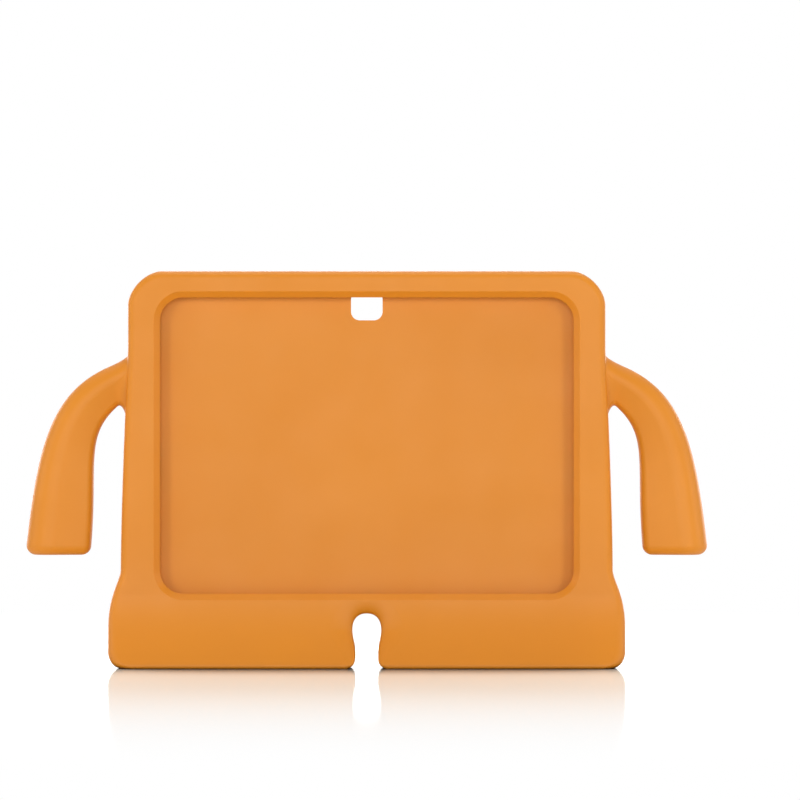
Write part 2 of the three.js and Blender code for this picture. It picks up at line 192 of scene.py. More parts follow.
class GapSizes(bpy.types.PropertyGroup):
    """Keyhole gap between the feet"""

    height: distance("Height", 31, "Height of the gap")
    head_half_width: distance("Head half width", 8.2, "Half the gap's greatest width")
    head_height: distance("Head height", 21.7, "Height where the gap is widest")
    neck_half_width: distance("Neck half width", 6.5, "Half the gap's least width")
    neck_height: distance("Neck height", 8.1, "Height where the gap is narrowest")
    top_handle: distance("Top handle", 5.4, "Length of the curve's handle at the gap's top")
    head_upper_handle: distance("Head upper handle", 3.6, "Length of the handle over the gap's widest part")
    head_lower_handle: distance("Head lower handle", 5.2, "Length of the handle under the gap's widest part")
    neck_handle: distance("Neck handle", 5.9, "Length of the handle over the gap's narrowest part")
    foot_radius: distance("Foot radius", 5.5, "Radius where the gap's sides turn out to the ground")
    side_rim: distance("Side rim width", 15, "Width of the rim beside the gap's widest part")
    top_rim: distance("Top rim width", 11, "Width of the rim over the gap")
    rim_depth: distance("Rim depth", 5.5, "How far the rim falls away into the gap")
    foot_rim: distance("Foot rim radius", 1.2, "Radius of the rim at the ground")


class ArmSizes(bpy.types.PropertyGroup):
    """The two arms"""

    top_drop: distance("Top drop", 50.4, "How far below the frame's top the arms leave it")
    root_height: distance("Root height", 21.7, "Height of the arms where they leave the frame")
    root_depth: distance("Root depth", 16, "Depth of the arms where they leave the frame")
    reach: distance("Reach", 58, "How far the hands reach out from the frame")
    hand_height: distance("Hand height", 64.3, "Height of the hands' ends above the ground")
    hand_width: distance("Hand width", 36.9, "Width of the hands")
    hand_depth: distance("Hand depth", 27, "Depth of the hands at their outer edge")
    inner_share: share("Inner edge share", 0.64, "Depth of the inner edge as a share of the outer edge's")
    outer_edge: distance("Outer edge radius", 13, "Radius of the arms' outer edges")
    inner_edge: distance("Inner edge radius", 6, "Radius of the arms' inner edges")
    end_radius: distance("Hand end radius", 5.5, "Radius round the hands' ends")
    sink: distance("Root sink", 5, "How far the arms run on into the frame")
    fillet_share: share("Fillet share", 0.085, "Share of the arm's run that its root's fillet takes")
    armpit_fillet: distance("Armpit fillet", 28, "Growth of the root below the arm")
    shoulder_fillet: distance("Shoulder fillet", 3, "Growth of the root above the arm")
    side_fillet: distance("Side fillet", 1.2, "Growth of the root at front and back")


class OpeningSizes(bpy.types.PropertyGroup):
    """Camera hole, key slot, plug holes and sound slots"""

    camera_drop: distance("Camera drop", 8.4, "Distance of the camera hole's middle below the tablet's top")
    camera_width: distance("Camera hole width", 18, "Width of the camera hole at the tablet")
    camera_height: distance("Camera hole height", 16.7, "Height of the camera hole at the tablet")
    camera_radius: distance("Camera hole radius", 5, "Radius of the camera hole's corners")
    camera_flare: distance("Camera hole flare", 2.85, "How much the camera hole widens to the back")
    camera_rim: distance("Camera hole rim", 1.2, "Radius of the rim round the camera hole")
    key_length: distance("Key slot length", 62, "Length of the slot over the keys")
    key_width: distance("Key slot width", 7, "Width of the slot over the keys")
    key_start: distance("Key slot start", 21, "Distance of the key slot from the tablet's edge")
    port_length: distance("Port passage length", 12, "Length of the passage for the charging plug")
    port_width: distance("Port passage width", 7.5, "Width of the passage for the charging plug")
    earphone_diameter: distance("Earphone hole diameter", 9, "Diameter of the hole for the earphone plug")
    earphone_drop: distance("Earphone hole drop", 24, "Distance of the earphone hole below the tablet's top")
    sound_length: distance("Sound slot length", 30, "Length of the slots for the loudspeakers")
    sound_width: distance("Sound slot width", 5, "Width of the slots for the loudspeakers")
    sound_height: distance("Sound slot height", 112, "Height of the sound slots' middles above the ground")
    rim: distance("Rim radius", 0.8, "Radius of the rims round slots, holes and window")


class RubberFinish(bpy.types.PropertyGroup):
    """Look of the silicone rubber"""

    base: colour("Colour", "#D28119", "Colour of the rubber")
    deep: colour("Deep colour", "#CF7E17", "Colour of the rubber where its pigment lies denser")
    roughness: share("Roughness", 0.5, "Roughness of the moulded surface")
    grain: distance("Grain", 0.9, "Spacing of the moulded grain")
    grain_depth: distance("Grain depth", 0.03, "Depth of the moulded grain")
    cloud: distance("Cloud size", 70, "Spacing of the broad unevenness in the pigment")


class StageSettings(bpy.types.PropertyGroup):
    """Floor, light and camera"""

    floor: colour("Floor colour", "#FAFAFA", "Colour of the floor")
    ambient: share("Ambient", 0.1, "Strength of the light from all round")
    gloss: share("Floor gloss", 0.8, "Share of a clear coat's mirror image that the floor shows")
    gloss_reach: distance("Gloss reach", 1400, "Distance in front of the case where the mirror image ends")
    # The contact shadow is painted into the floor's light by an ambient occlusion node
    contact: distance("Contact shadow", 165, "Reach of the shadow where the case stands on the floor")
    fade_start: distance("Fade start", 150, "Distance from the case where the floor starts to turn white")
    fade_end: distance("Fade end", 1100, "Distance from the case where the floor is white")
    view_width: distance("View width", 455.3, "Width that the picture shows at the case's front")
    camera_distance: distance("Camera distance", 4000, "Distance of the camera from the case's front")
    camera_side: distance("Camera side", 18.95, "How far right of the case's middle the camera stands")
    camera_height: distance("Camera height", 152.6, "Height of the camera above the floor")


GROUPS = {
    "tablet": TabletSizes,
    "walls": WallSizes,
    "frame": FrameSizes,
    "feet": FootSizes,
    "gap": GapSizes,
    "arms": ArmSizes,
    "openings": OpeningSizes,
    "rubber": RubberFinish,
    "stage": StageSettings,
}


def settings(context):
    """Property groups by name, with the sizes that follow from them"""
    given = SimpleNamespace(**{name: getattr(context.scene, f"tablet_case_{name}") for name in GROUPS})
    tablet, walls = given.tablet, given.walls
    room = 2 * tablet.clearance
    given.pocket = SimpleNamespace(
        width=tablet.width + room,
        height=tablet.height + room,
        depth=tablet.thickness + room,
        top=walls.floor_height + tablet.height + room,
        middle=walls.floor_height + (tablet.height + room) / 2,
    )
    given.height = given.pocket.top + walls.top
    given.half_width = given.pocket.width / 2 + walls.side
    given.depth = walls.lip + given.pocket.depth + walls.back
    given.pocket.front = walls.lip - given.depth / 2
    given.pocket.back = given.depth / 2 - walls.back
    given.pocket.plane = (given.pocket.front + given.pocket.back) / 2
    given.camera_middle = given.pocket.top - tablet.clearance - given.openings.camera_drop
    return given


# Form of the frame

def foot_flare(given, height):
    """How far toe and heel reach past the frame's faces at a height, as a share of their reach"""
    drop = np.clip((given.feet.flare_height - height) / given.feet.flare_height, 0, 1)
    return drop ** given.feet.flare_power


def face_distance(given, height):
    """Distance of the front and back surfaces from the middle plane, with the sole's rounded edge"""
    edge = given.feet.sole_edge
    below = edge - np.clip(height, 0, edge)
    lost = edge - np.sqrt(edge**2 - below**2)
    return given.depth / 2 + given.feet.reach * foot_flare(given, height) - lost


def side_half_width(given, height):
    """Half the frame's width at a height between the waist and the top corners"""
    form = given.frame
    shoulder = given.height - form.shoulder_drop
    rise = np.clip((height - form.waist_height) / (shoulder - form.waist_height), 0, 1)
    return given.half_width + form.waist_spread * (1 - rise**form.spread_power)


def inset_half_width(given, level, inset):
    """Half the width at a level for the outline moved in by an inset, round the top corners too"""
    height, half_width = level
    form = given.frame
    corner_middle = given.height - form.corner_radius
    if height <= corner_middle:
        return half_width - inset
    radius = form.corner_radius - inset
    rise = min(1.0, (height - corner_middle) / radius)
    bulge = (1 - rise**form.corner_power) ** (1 / form.corner_power)
    return given.half_width - form.corner_radius + radius * bulge


def bezier(corners, steps):
    """Points of a cubic curve through its four control points"""
    way = np.linspace(0, 1, steps + 1)[:, None]
    weights = ((1 - way) ** 3, 3 * way * (1 - way) ** 2, 3 * way**2 * (1 - way), way**3)
    return sum(weight * np.array(corner) for weight, corner in zip(weights, corners))


def body_levels(given):
    """Heights and half widths that the frame is lofted through, from the sole to the top"""
    feet, form = given.feet, given.frame
    waist = side_half_width(given, form.waist_height)
    hip = waist + feet.hip_spread
    turns = np.linspace(0, QUARTER_TURN, SOLE_STEPS + 1)
    levels = [
        (feet.corner_height * (1 - math.cos(turn)), hip - feet.corner_width * (1 - math.sin(turn)))
        for turn in turns
    ]
    levels += [
        (height, half_width)
        for half_width, height in bezier(
            [
                (hip, feet.hip_end),
                (hip, feet.hip_end + feet.lower_handle),
                (waist, form.waist_height - feet.upper_handle),
                (waist, form.waist_height),
            ],
            HIP_STEPS,
        )
    ]
    levels += [
        (height, hip) for height in np.linspace(feet.corner_height, feet.hip_end, SOLE_STEPS)[1:-1]
    ]
    corner_middle = given.height - form.corner_radius
    for height in np.linspace(form.waist_height, corner_middle, TORSO_STEPS + 1)[1:]:
        levels.append((height, side_half_width(given, height)))
    for turn in np.linspace(0, QUARTER_TURN, FRAME_CORNER_STEPS + 1)[1:]:
        rise = math.sin(turn) ** (2 / form.corner_power)
        levels.append((corner_middle + form.corner_radius * rise, given.half_width))
    return sorted(levels)


def edge_points(given, level, radius, side, facing):
    """One quarter of a section of the frame: the edge between a side and the front or the back"""
    left = given.height - level[0]
    last = math.acos(max(0.0, 1 - left / radius)) if left < radius else QUARTER_TURN
    face_middle = face_distance(given, level[0]) - radius
    return [
        (
            side * inset_half_width(given, level, radius * (1 - math.cos(turn))),
            facing * (face_middle + radius * math.sin(turn)),
            level[0],
        )
        for turn in np.linspace(0, last, EDGE_STEPS + 1)
    ]


def body_rings(given):
    """Rings of points round the frame, from the sole to the top"""
    rings = []
    for level in body_levels(given):
        flare = foot_flare(given, level[0])
        front = given.frame.front_edge + (given.feet.edge - given.frame.front_edge) * flare
        back = given.frame.back_edge + (given.feet.edge - given.frame.back_edge) * flare
        rings.append(
            edge_points(given, level, front, 1, -1)[::-1]
            + edge_points(given, level, back, 1, 1)
            + edge_points(given, level, back, -1, 1)[::-1]
            + edge_points(given, level, front, -1, -1)
        )
    return rings


# Meshes

def mesh_object(name, mesh):
    """Object of a mesh, in the scene"""
    made = bpy.data.objects.new(name, mesh)
    bpy.context.scene.collection.objects.link(made)
    return made


def closed_mesh(shape):
    """Merges doubled points, drops what has shrunk to nothing and turns the faces outwards"""
    bmesh.ops.remove_doubles(shape, verts=shape.verts, dist=SAME_POINT)
    bmesh.ops.dissolve_degenerate(shape, edges=shape.edges, dist=SAME_POINT)
    bmesh.ops.recalc_face_normals(shape, faces=shape.faces)


def loft(name, rings):
    """Closed object through rings of equal point count, with a flat end at the first and the last"""
    shape = bmesh.new()
    rows = [[shape.verts.new(point) for point in ring] for ring in rings]
    for row, above in zip(rows, rows[1:]):
        for place in range(len(row)):
            after = (place + 1) % len(row)
            shape.faces.new((row[place], row[after], above[after], above[place]))
    shape.faces.new(rows[0][::-1])
    shape.faces.new(rows[-1])
    closed_mesh(shape)
    mesh = bpy.data.meshes.new(name)
    shape.to_mesh(mesh)
    shape.free()
    return mesh_object(name, mesh)


def rounded_rectangle(middle, width, height, radius, steps):
    """Points of a rectangle with round corners, and the outward direction at each"""
    points, outward = [], []
    for corner, (side, rise) in enumerate(((1, 1), (-1, 1), (-1, -1), (1, -1))):
        centre = np.array(middle) + (side * (width / 2 - radius), rise * (height / 2 - radius))
        for turn in np.linspace(corner, corner + 1, steps + 1) * QUARTER_TURN:
            direction = np.array((math.cos(turn), math.sin(turn)))
            points.append(centre + radius * direction)
            outward.append(direction)
    return np.array(points), np.array(outward)


def rounded_mouth(rim, fall, surface, facing, steps=RIM_STEPS):
    """Stages that open a tunnel into a surface, from the inside out, with a rounded rim.
    The rim has a width and a fall. A stage is the outline's growth, and a function from the grown outline
    to its depths."""
    turns = np.linspace(0, RIM_ANGLE, steps + 1)
    return [
        (
            rim * (1 - math.cos(turn)),
            lambda outline, turn=turn: surface(outline) - facing * fall * (1 - math.sin(turn)),
        )
        for turn in turns
    ] + [
        (
            rim * (1 - math.cos(RIM_ANGLE)),
            lambda outline: surface(outline) + facing * PAST,
        )
    ]


def tunnel(name, outline, axis, stages):
    """Cutter of an outline that is led along an axis through stages of growth and depth"""
    points, outward = outline
    rings = []
    for grow, depth in stages:
        grown = points + outward * (grow[:, None] if isinstance(grow, np.ndarray) else grow)
        at = depth(grown) if callable(depth) else depth
        rings.append(np.insert(grown, "xyz".index(axis), at, axis=1))
    return loft(name, rings)


def flat(depth):
    """Surface that lies at one depth all over"""
    return lambda outline: np.full(len(outline), depth)


# Cutters

def pocket_cutter(given):
    """Pocket under the lip, with a round edge where its walls meet its back"""
    outline = rounded_rectangle(
        (0, given.pocket.middle),
        given.pocket.width,
        given.pocket.height,
        given.tablet.corner_radius,
        WINDOW_CORNER_STEPS,
    )
    edge = given.tablet.back_edge
    stages = [(0, given.pocket.front)]
    for turn in np.linspace(0, QUARTER_TURN, RIM_STEPS + 1):
        stages.append((-edge * (1 - math.cos(turn)), given.pocket.back - edge * (1 - math.sin(turn))))
    return tunnel("pocket", outline, "y", stages)


def window_cutter(given):
    """Window in the lip: a straight edge at the pocket and a bevel that rolls over into the front"""
    walls, rim = given.walls, given.openings.rim
    outline = rounded_rectangle(
        (0, given.pocket.middle),
        given.tablet.width - 2 * walls.lip_cover,
        given.tablet.height - 2 * walls.lip_cover,
        walls.window_radius,
        WINDOW_CORNER_STEPS,
    )
    front = -given.depth / 2
    bevel_start = given.pocket.front - walls.lip_edge
    slope = math.atan2(walls.bevel_width, walls.lip - walls.lip_edge)
    # The rim's arc is tangent to the bevel and to the front face
    tangent = rim * math.tan((QUARTER_TURN - slope) / 2)
    end_grow = walls.bevel_width + tangent
    stages = [(0, given.pocket.plane), (0, bevel_start)]
    for turn in np.linspace(slope, RIM_ANGLE, RIM_STEPS + 1):
        stages.append((end_grow - rim * math.cos(turn), front + rim * (1 - math.sin(turn))))
    stages.append((stages[-1][0], front - PAST))
    return tunnel("window", outline, "y", stages)


def camera_cutter(given):
    """Camera hole, wider towards the back and rolled over into it"""
    cuts = given.openings
    outline = rounded_rectangle(
        (0, given.camera_middle),
        cuts.camera_width,
        cuts.camera_height,
        cuts.camera_radius,
        HOLE_CORNER_STEPS,
    )
    back = given.depth / 2
    draft = cuts.camera_flare / given.walls.back
    start = given.pocket.plane
    stages = [(draft * (start - given.pocket.back), start)]
    slope = math.atan(draft)
    tangent = cuts.camera_rim * math.tan((QUARTER_TURN - slope) / 2)
    end_grow = cuts.camera_flare + tangent
    for turn in np.linspace(slope, RIM_ANGLE, RIM_STEPS + 1):
        stages.append(
            (end_grow - cuts.camera_rim * math.cos(turn), back - cuts.camera_rim * (1 - math.sin(turn)))
        )
    stages.append((stages[-1][0], back + PAST))
    return tunnel("camera_hole", outline, "y", stages)


def wall_cutters(given):
    """Key slot, plug holes and sound slots through the walls"""
    cuts, pocket = given.openings, given.pocket
    key_middle = -given.tablet.width / 2 + cuts.key_start + cuts.key_length / 2
    inside = pocket.width / 2 - PAST

    def slot(middle, length, width, upright):
        across = (width, length) if upright else (length, width)
        return rounded_rectangle(middle, *across, width / 2, HOLE_CORNER_STEPS)

    def side_surface(side):
        return lambda outline: side * side_half_width(given, outline[:, 1])

    keys = tunnel(
        "key_slot",
        slot((key_middle, pocket.plane), cuts.key_length, cuts.key_width, False),
        "z",
        [(0, pocket.top - PAST), *rounded_mouth(cuts.rim, cuts.rim, flat(given.height), 1)],
    )
    port = tunnel(
        "charging_plug_passage",
        slot((0, pocket.plane), cuts.port_length, cuts.port_width, False),
        "z",
        [(0, given.gap.height - PAST), (0, given.walls.floor_height + PAST)],
    )
    earphone = tunnel(
        "earphone_hole",
        slot(
            (pocket.plane, pocket.top - cuts.earphone_drop),
            cuts.earphone_diameter,
            cuts.earphone_diameter,
            True,
        ),
        "x",
        [(0, -inside), *rounded_mouth(cuts.rim, cuts.rim, side_surface(-1), -1)],
    )
    sound = [
        tunnel(
            f"sound_slot_{name}",
            slot((pocket.plane, cuts.sound_height), cuts.sound_length, cuts.sound_width, True),
            "x",
            [(0, side * inside), *rounded_mouth(cuts.rim, cuts.rim, side_surface(side), side)],
        )
        for name, side in (("left", -1), ("right", 1))
    ]
    return [keys, port, earphone, *sound]


def gap_outline(given):
    """Outline of the keyhole between the feet, from its top down past the ground and back"""
    gap = given.gap
    widest = (gap.head_half_width, gap.head_height)
    neck = (gap.neck_half_width, gap.neck_height)
    head = bezier(
        [
            (0, gap.height),
            (gap.top_handle, gap.height),
            (widest[0], gap.height - gap.head_upper_handle),
            widest,
        ],
        GAP_HEAD_STEPS,
    )
    throat = bezier(
        [
            widest,
            (widest[0], widest[1] - gap.head_lower_handle),
            (neck[0], neck[1] + gap.neck_handle),
            neck,
        ],
        GAP_NECK_STEPS,
    )
    foot = [
        (
            neck[0] + gap.foot_radius * (1 - math.cos(turn)),
            gap.foot_radius * (1 - math.sin(turn)),
        )
        for turn in np.linspace(0, GAP_FOOT_TURN, GAP_FOOT_STEPS + 1)
    ]
    onward = np.array((math.sin(GAP_FOOT_TURN), -math.cos(GAP_FOOT_TURN)))
    beyond = np.array(foot[-1]) + PAST * onward
    right = np.array([*head, *throat[1:], *foot, beyond, (beyond[0], -PAST)])
    outline = np.array([*right, *(right[:0:-1] * (-1, 1))])
    along = np.roll(outline, -1, axis=0) - np.roll(outline, 1, axis=0)
    outward = np.column_stack((-along[:, 1], along[:, 0]))
    return outline, outward / np.linalg.norm(outward, axis=1)[:, None]


def gap_cutter(given):
    """Cutter for the gap, which spreads into a wide rounded rim at the toes and at the heels"""
    gap = given.gap
    outline = gap_outline(given)
    heights = (0, gap.head_height, gap.height)
    rim = np.interp(outline[0][:, 1], heights, (gap.foot_rim, gap.side_rim, gap.top_rim))
    fall = np.interp(outline[0][:, 1], heights, (gap.foot_rim, gap.rim_depth, gap.rim_depth))

    def mouth(facing):
        return rounded_mouth(
            rim, fall, lambda grown: facing * face_distance(given, grown[:, 1]), facing, GAP_RIM_STEPS
        )

    return tunnel("leg_gap", outline, "y", [*mouth(-1)[::-1], *mouth(1)])


# Nodes

MATH, VECTOR, REMAP = "ShaderNodeMath", "ShaderNodeVectorMath", "ShaderNodeMapRange"
MIX, NOISE, XYZ = "ShaderNodeMix", "ShaderNodeTexNoise", "ShaderNodeCombineXYZ"


def add(tree, kind, inputs=(), **choices):
    """Adds a node with its settings.
    inputs maps its sockets to values, or to the nodes or sockets that feed them."""
    made = tree.nodes.new(kind)
    for name, choice in choices.items():
        setattr(made, name, choice)
    for socket, source in dict(inputs).items():
        if isinstance(source, bpy.types.Node):
            source = source.outputs[0]
        if isinstance(source, bpy.types.NodeSocket):
            tree.links.new(source, made.inputs[socket])
        else:
            made.inputs[socket].default_value = source
    return made


# Arms

ARM_INPUTS = {
    "NodeSocketFloat": (
        "Root side", "Root top", "Root height", "Root depth", "Root sink", "Reach",
        "Hand height", "Hand width", "Hand depth", "Hand end radius",
        "Outer edge radius", "Inner edge radius", "Inner edge share",
        "Fillet share", "Armpit fillet", "Shoulder fillet", "Side fillet",
    ),
    "NodeSocketVector": ("Outer leave", "Outer arrive", "Inner leave", "Inner arrive"),
    "NodeSocketInt": ("Root rings", "Arm rings", "End rings", "Edge points"),
    "NodeSocketMaterial": ("Material",),
}
# How the rails leave the frame and arrive at the hand: the reach of each curve's handles across, in
# depth and in height, as shares of the rail's own span
ARM_BENDS = {
    "Outer leave": (0.73, 0.0, 0.122),
    "Outer arrive": (0.122, 0.0, 0.603),
    "Inner leave": (1.263, 0.0, 0.235),
    "Inner arrive": (0.208, 0.0, 0.622),
}


def arm_grid(tree, given):
    """Grid of an arm's points: rings run down the arm, places run round its section"""
    root_end = add(tree, MATH, {0: given["Root rings"], 1: 1.0}, operation="ADD")
    arm_end = add(tree, MATH, {0: root_end, 1: given["Arm rings"]}, operation="ADD")
    last_ring = add(tree, MATH, {0: arm_end, 1: given["End rings"]}, operation="ADD")
    # Half a section runs from one seam over the outer and the inner edge's arc to the other seam
    half_round = add(tree, MATH, {0: given["Edge points"], 1: 2.0, 2: 3.0}, operation="MULTIPLY_ADD")
    last_place = add(tree, MATH, {0: half_round, 1: 2.0}, operation="MULTIPLY")
    ring_count = add(tree, MATH, {0: last_ring, 1: 1.0}, operation="ADD")
    place_count = add(tree, MATH, {0: last_place, 1: 1.0}, operation="ADD")
    mesh = add(tree, "GeometryNodeMeshGrid", {"Vertices X": ring_count, "Vertices Y": place_count})
    over = add(tree, "ShaderNodeSeparateXYZ", {0: mesh.outputs["UV Map"]})
    return SimpleNamespace(
        mesh=mesh,
        root_end=root_end,
        arm_end=arm_end,
        last_ring=last_ring,
        half_round=half_round,
        ring=add(tree, MATH, {0: over.outputs["X"], 1: last_ring}, operation="MULTIPLY"),
        place=add(tree, MATH, {0: over.outputs["Y"], 1: last_place}, operation="MULTIPLY"),
    )


def arm_run(tree, given, grid):
    """How far along the arm a ring lies, how much the root's fillet grows it and the hand's end insets it"""
    ring = grid.ring
    root_turn = add(tree, REMAP, {0: ring, 1: 1.0, 2: grid.root_end, 4: QUARTER_TURN})
    end_turn = add(tree, REMAP, {0: ring, 1: grid.arm_end, 2: grid.last_ring, 4: QUARTER_TURN})
    root_cosine = add(tree, MATH, {0: root_turn}, operation="COSINE")
    root_sine = add(tree, MATH, {0: root_turn}, operation="SINE")
    end_cosine = add(tree, MATH, {0: end_turn}, operation="COSINE")
    end_sine = add(tree, MATH, {0: end_turn}, operation="SINE")
    root_share = add(tree, REMAP, {0: root_cosine, 1: 1.0, 2: 0.0, 4: given["Fillet share"]})
    return SimpleNamespace(
        share=add(tree, REMAP, {0: ring, 1: grid.root_end, 2: grid.arm_end, 3: root_share, 4: 1.0}),
        flare=add(tree, MATH, {0: 1.0, 1: root_sine}, operation="SUBTRACT"),
        inset=add(tree, REMAP, {0: end_cosine, 1: 1.0, 2: 0.0, 4: given["Hand end radius"]}),
        lowered=add(tree, MATH, {0: end_sine, 1: given["Hand end radius"]}, operation="MULTIPLY"),
        sunk=add(tree, REMAP, {0: ring, 1: 1.0, 2: 0.0, 4: given["Root sink"]}),
    )


def arm_rail(tree, start, end, leave, arrive, share):
    """Point of a cubic curve between two places, whose handles are shares of the span between them"""
    span = add(tree, VECTOR, {0: end, 1: start}, operation="SUBTRACT")
    back = add(tree, VECTOR, {0: start, 1: end}, operation="SUBTRACT")
    corners = [
        start,
        add(tree, VECTOR, {0: span, 1: leave, 2: start}, operation="MULTIPLY_ADD"),
        add(tree, VECTOR, {0: back, 1: arrive, 2: end}, operation="MULTIPLY_ADD"),
        end,
    ]
    while len(corners) > 1:
        steps = [
            add(tree, VECTOR, {0: far, 1: near}, operation="SUBTRACT")
            for near, far in zip(corners, corners[1:])
        ]
        corners = [
            add(tree, VECTOR, {0: step, 1: share, 2: near}, operation="MULTIPLY_ADD")
            for near, step in zip(corners, steps)
        ]
    return corners[0]


def arm_rails(tree, given, share):
    """The outer and the inner rail of the right arm, from the frame to the hand"""
    hand_top = add(tree, MATH, {0: given["Hand height"], 1: given["Hand end radius"]}, operation="ADD")
    hand_side = add(tree, MATH, {0: given["Root side"], 1: given["Reach"]}, operation="ADD")
    hand_inside = add(tree, MATH, {0: hand_side, 1: given["Hand width"]}, operation="SUBTRACT")
    root_low = add(tree, MATH, {0: given["Root top"], 1: given["Root height"]}, operation="SUBTRACT")
    rails = []
    for edge, start_height, end_side in (
        ("Outer", given["Root top"], hand_side), ("Inner", root_low, hand_inside)
    ):
        start = add(tree, XYZ, {0: given["Root side"], 2: start_height})
        end = add(tree, XYZ, {0: end_side, 2: hand_top})
        rails.append(
            arm_rail(tree, start, end, given[f"{edge} leave"], given[f"{edge} arrive"], share)
        )
    return rails


def arm_section(tree, given, run, outer_rail, inner_rail):
    """Section between the rails: its middle and direction, and the radius and middle of its edges' arcs"""
    across = add(tree, VECTOR, {0: outer_rail, 1: inner_rail}, operation="SUBTRACT")
    breadth = add(tree, VECTOR, {0: across}, operation="LENGTH").outputs["Value"]
    direction = add(tree, VECTOR, {0: across}, operation="NORMALIZE")
    pit = add(tree, MATH, {0: run.flare, 1: given["Armpit fillet"]}, operation="MULTIPLY")
    low = add(tree, MATH, {0: run.inset, 1: pit}, operation="SUBTRACT")
    high_edge = add(tree, MATH, {0: breadth, 1: run.inset}, operation="SUBTRACT")
    high = add(
        tree, MATH, {0: run.flare, 1: given["Shoulder fillet"], 2: high_edge}, operation="MULTIPLY_ADD"
    )
    low_part = add(tree, MATH, {0: low, 1: 0.5}, operation="MULTIPLY")
    middle = add(tree, MATH, {0: high, 1: 0.5, 2: low_part}, operation="MULTIPLY_ADD")
    half_width = add(tree, MATH, {0: middle, 1: low}, operation="SUBTRACT")
    depth = add(tree, REMAP, {0: run.share, 3: given["Root depth"], 4: given["Hand depth"]})
    side_growth = add(tree, MATH, {0: run.flare, 1: given["Side fillet"]}, operation="MULTIPLY")
    growth = add(tree, MATH, {0: side_growth, 1: run.inset}, operation="SUBTRACT")
    outer_depth = add(tree, MATH, {0: depth, 1: 0.5, 2: growth}, operation="MULTIPLY_ADD")
    slimmer = add(tree, MATH, {0: given["Inner edge share"], 1: 0.5}, operation="MULTIPLY")
    inner_depth = add(tree, MATH, {0: depth, 1: slimmer, 2: growth}, operation="MULTIPLY_ADD")
    wanted_outer = add(tree, MATH, {0: given["Outer edge radius"], 1: run.inset}, operation="SUBTRACT")
    wanted_inner = add(tree, MATH, {0: given["Inner edge radius"], 1: run.inset}, operation="SUBTRACT")
    outer_radius = add(tree, MATH, {0: wanted_outer, 1: outer_depth}, operation="MINIMUM")
    inner_radius = add(tree, MATH, {0: wanted_inner, 1: inner_depth}, operation="MINIMUM")
    return SimpleNamespace(
        middle=middle,
        direction=direction,
        outer_radius=outer_radius,
        inner_radius=inner_radius,
        outer_side=add(tree, MATH, {0: half_width, 1: outer_radius}, operation="SUBTRACT"),
        inner_side=add(tree, MATH, {0: inner_radius, 1: half_width}, operation="SUBTRACT"),
        outer_front=add(tree, MATH, {0: outer_depth, 1: outer_radius}, operation="SUBTRACT"),
        inner_front=add(tree, MATH, {0: inner_depth, 1: inner_radius}, operation="SUBTRACT"),
    )


def arm_face_turn(tree, section):
    """Angle at which the section's flat face touches both of its edges' arcs"""
    run = add(tree, MATH, {0: section.outer_side, 1: section.inner_side}, operation="SUBTRACT")
    fall = add(tree, MATH, {0: section.outer_front, 1: section.inner_front}, operation="SUBTRACT")
    slant = add(tree, MATH, {0: fall, 1: run}, operation="ARCTAN2")
    apart = add(tree, XYZ, {0: run, 1: fall})
    reach = add(tree, VECTOR, {0: apart}, operation="LENGTH").outputs["Value"]
    taper = add(tree, MATH, {0: section.outer_radius, 1: section.inner_radius}, operation="SUBTRACT")
    taper_share = add(tree, MATH, {0: taper, 1: reach}, operation="DIVIDE")
    taper_turn = add(tree, MATH, {0: taper_share}, operation="ARCSINE")
    face_slant = add(tree, MATH, {0: slant, 1: taper_turn}, operation="ADD")
    return add(tree, MATH, {0: face_slant, 1: QUARTER_TURN}, operation="ADD")


def arm_section_point(tree, given, grid, section):
    """Place of each point in its section: out along the front half, and back along its mirror image"""
    face_turn = arm_face_turn(tree, section)
    rest_turn = add(tree, MATH, {0: 2 * QUARTER_TURN, 1: face_turn}, operation="SUBTRACT")
    turned = add(tree, MATH, {0: grid.half_round, 1: grid.place}, operation="SUBTRACT")
    facing = add(tree, MATH, {0: turned}, operation="SIGN")
    beyond = add(tree, MATH, {0: turned}, operation="ABSOLUTE")
    step = add(tree, MATH, {0: grid.half_round, 1: beyond}, operation="SUBTRACT")
    outer_end = add(tree, MATH, {0: given["Edge points"], 1: 1.0}, operation="ADD")
    inner_start = add(tree, MATH, {0: given["Edge points"], 1: 2.0}, operation="ADD")
    inner_end = add(tree, MATH, {0: grid.half_round, 1: 1.0}, operation="SUBTRACT")
    outer_turn = add(tree, REMAP, {0: step, 1: 1.0, 2: outer_end, 4: face_turn})
    inner_turn = add(tree, REMAP, {0: step, 1: inner_start, 2: inner_end, 4: rest_turn})
    turn = add(tree, MATH, {0: outer_turn, 1: inner_turn}, operation="ADD")
    on_inner = add(tree, REMAP, {0: step, 1: outer_end, 2: inner_start})
    radius = add(tree, REMAP, {0: on_inner, 3: section.outer_radius, 4: section.inner_radius})
    arc_side = add(tree, REMAP, {0: on_inner, 3: section.outer_side, 4: section.inner_side})
    arc_front = add(tree, REMAP, {0: on_inner, 3: section.outer_front, 4: section.inner_front})
    from_seam = add(tree, MATH, {0: step, 1: beyond}, operation="MINIMUM")
    off_seam = add(tree, MATH, {0: from_seam, 1: 1.0}, operation="MINIMUM")
    front = add(tree, MATH, {0: arc_front, 1: off_seam}, operation="MULTIPLY")
    cosine = add(tree, MATH, {0: turn}, operation="COSINE")
    sine = add(tree, MATH, {0: turn}, operation="SINE")
    aside = add(tree, MATH, {0: radius, 1: cosine, 2: arc_side}, operation="MULTIPLY_ADD")
    forward = add(tree, MATH, {0: radius, 1: sine, 2: front}, operation="MULTIPLY_ADD")
    signed = add(tree, MATH, {0: forward, 1: facing}, operation="MULTIPLY")
    return aside, signed


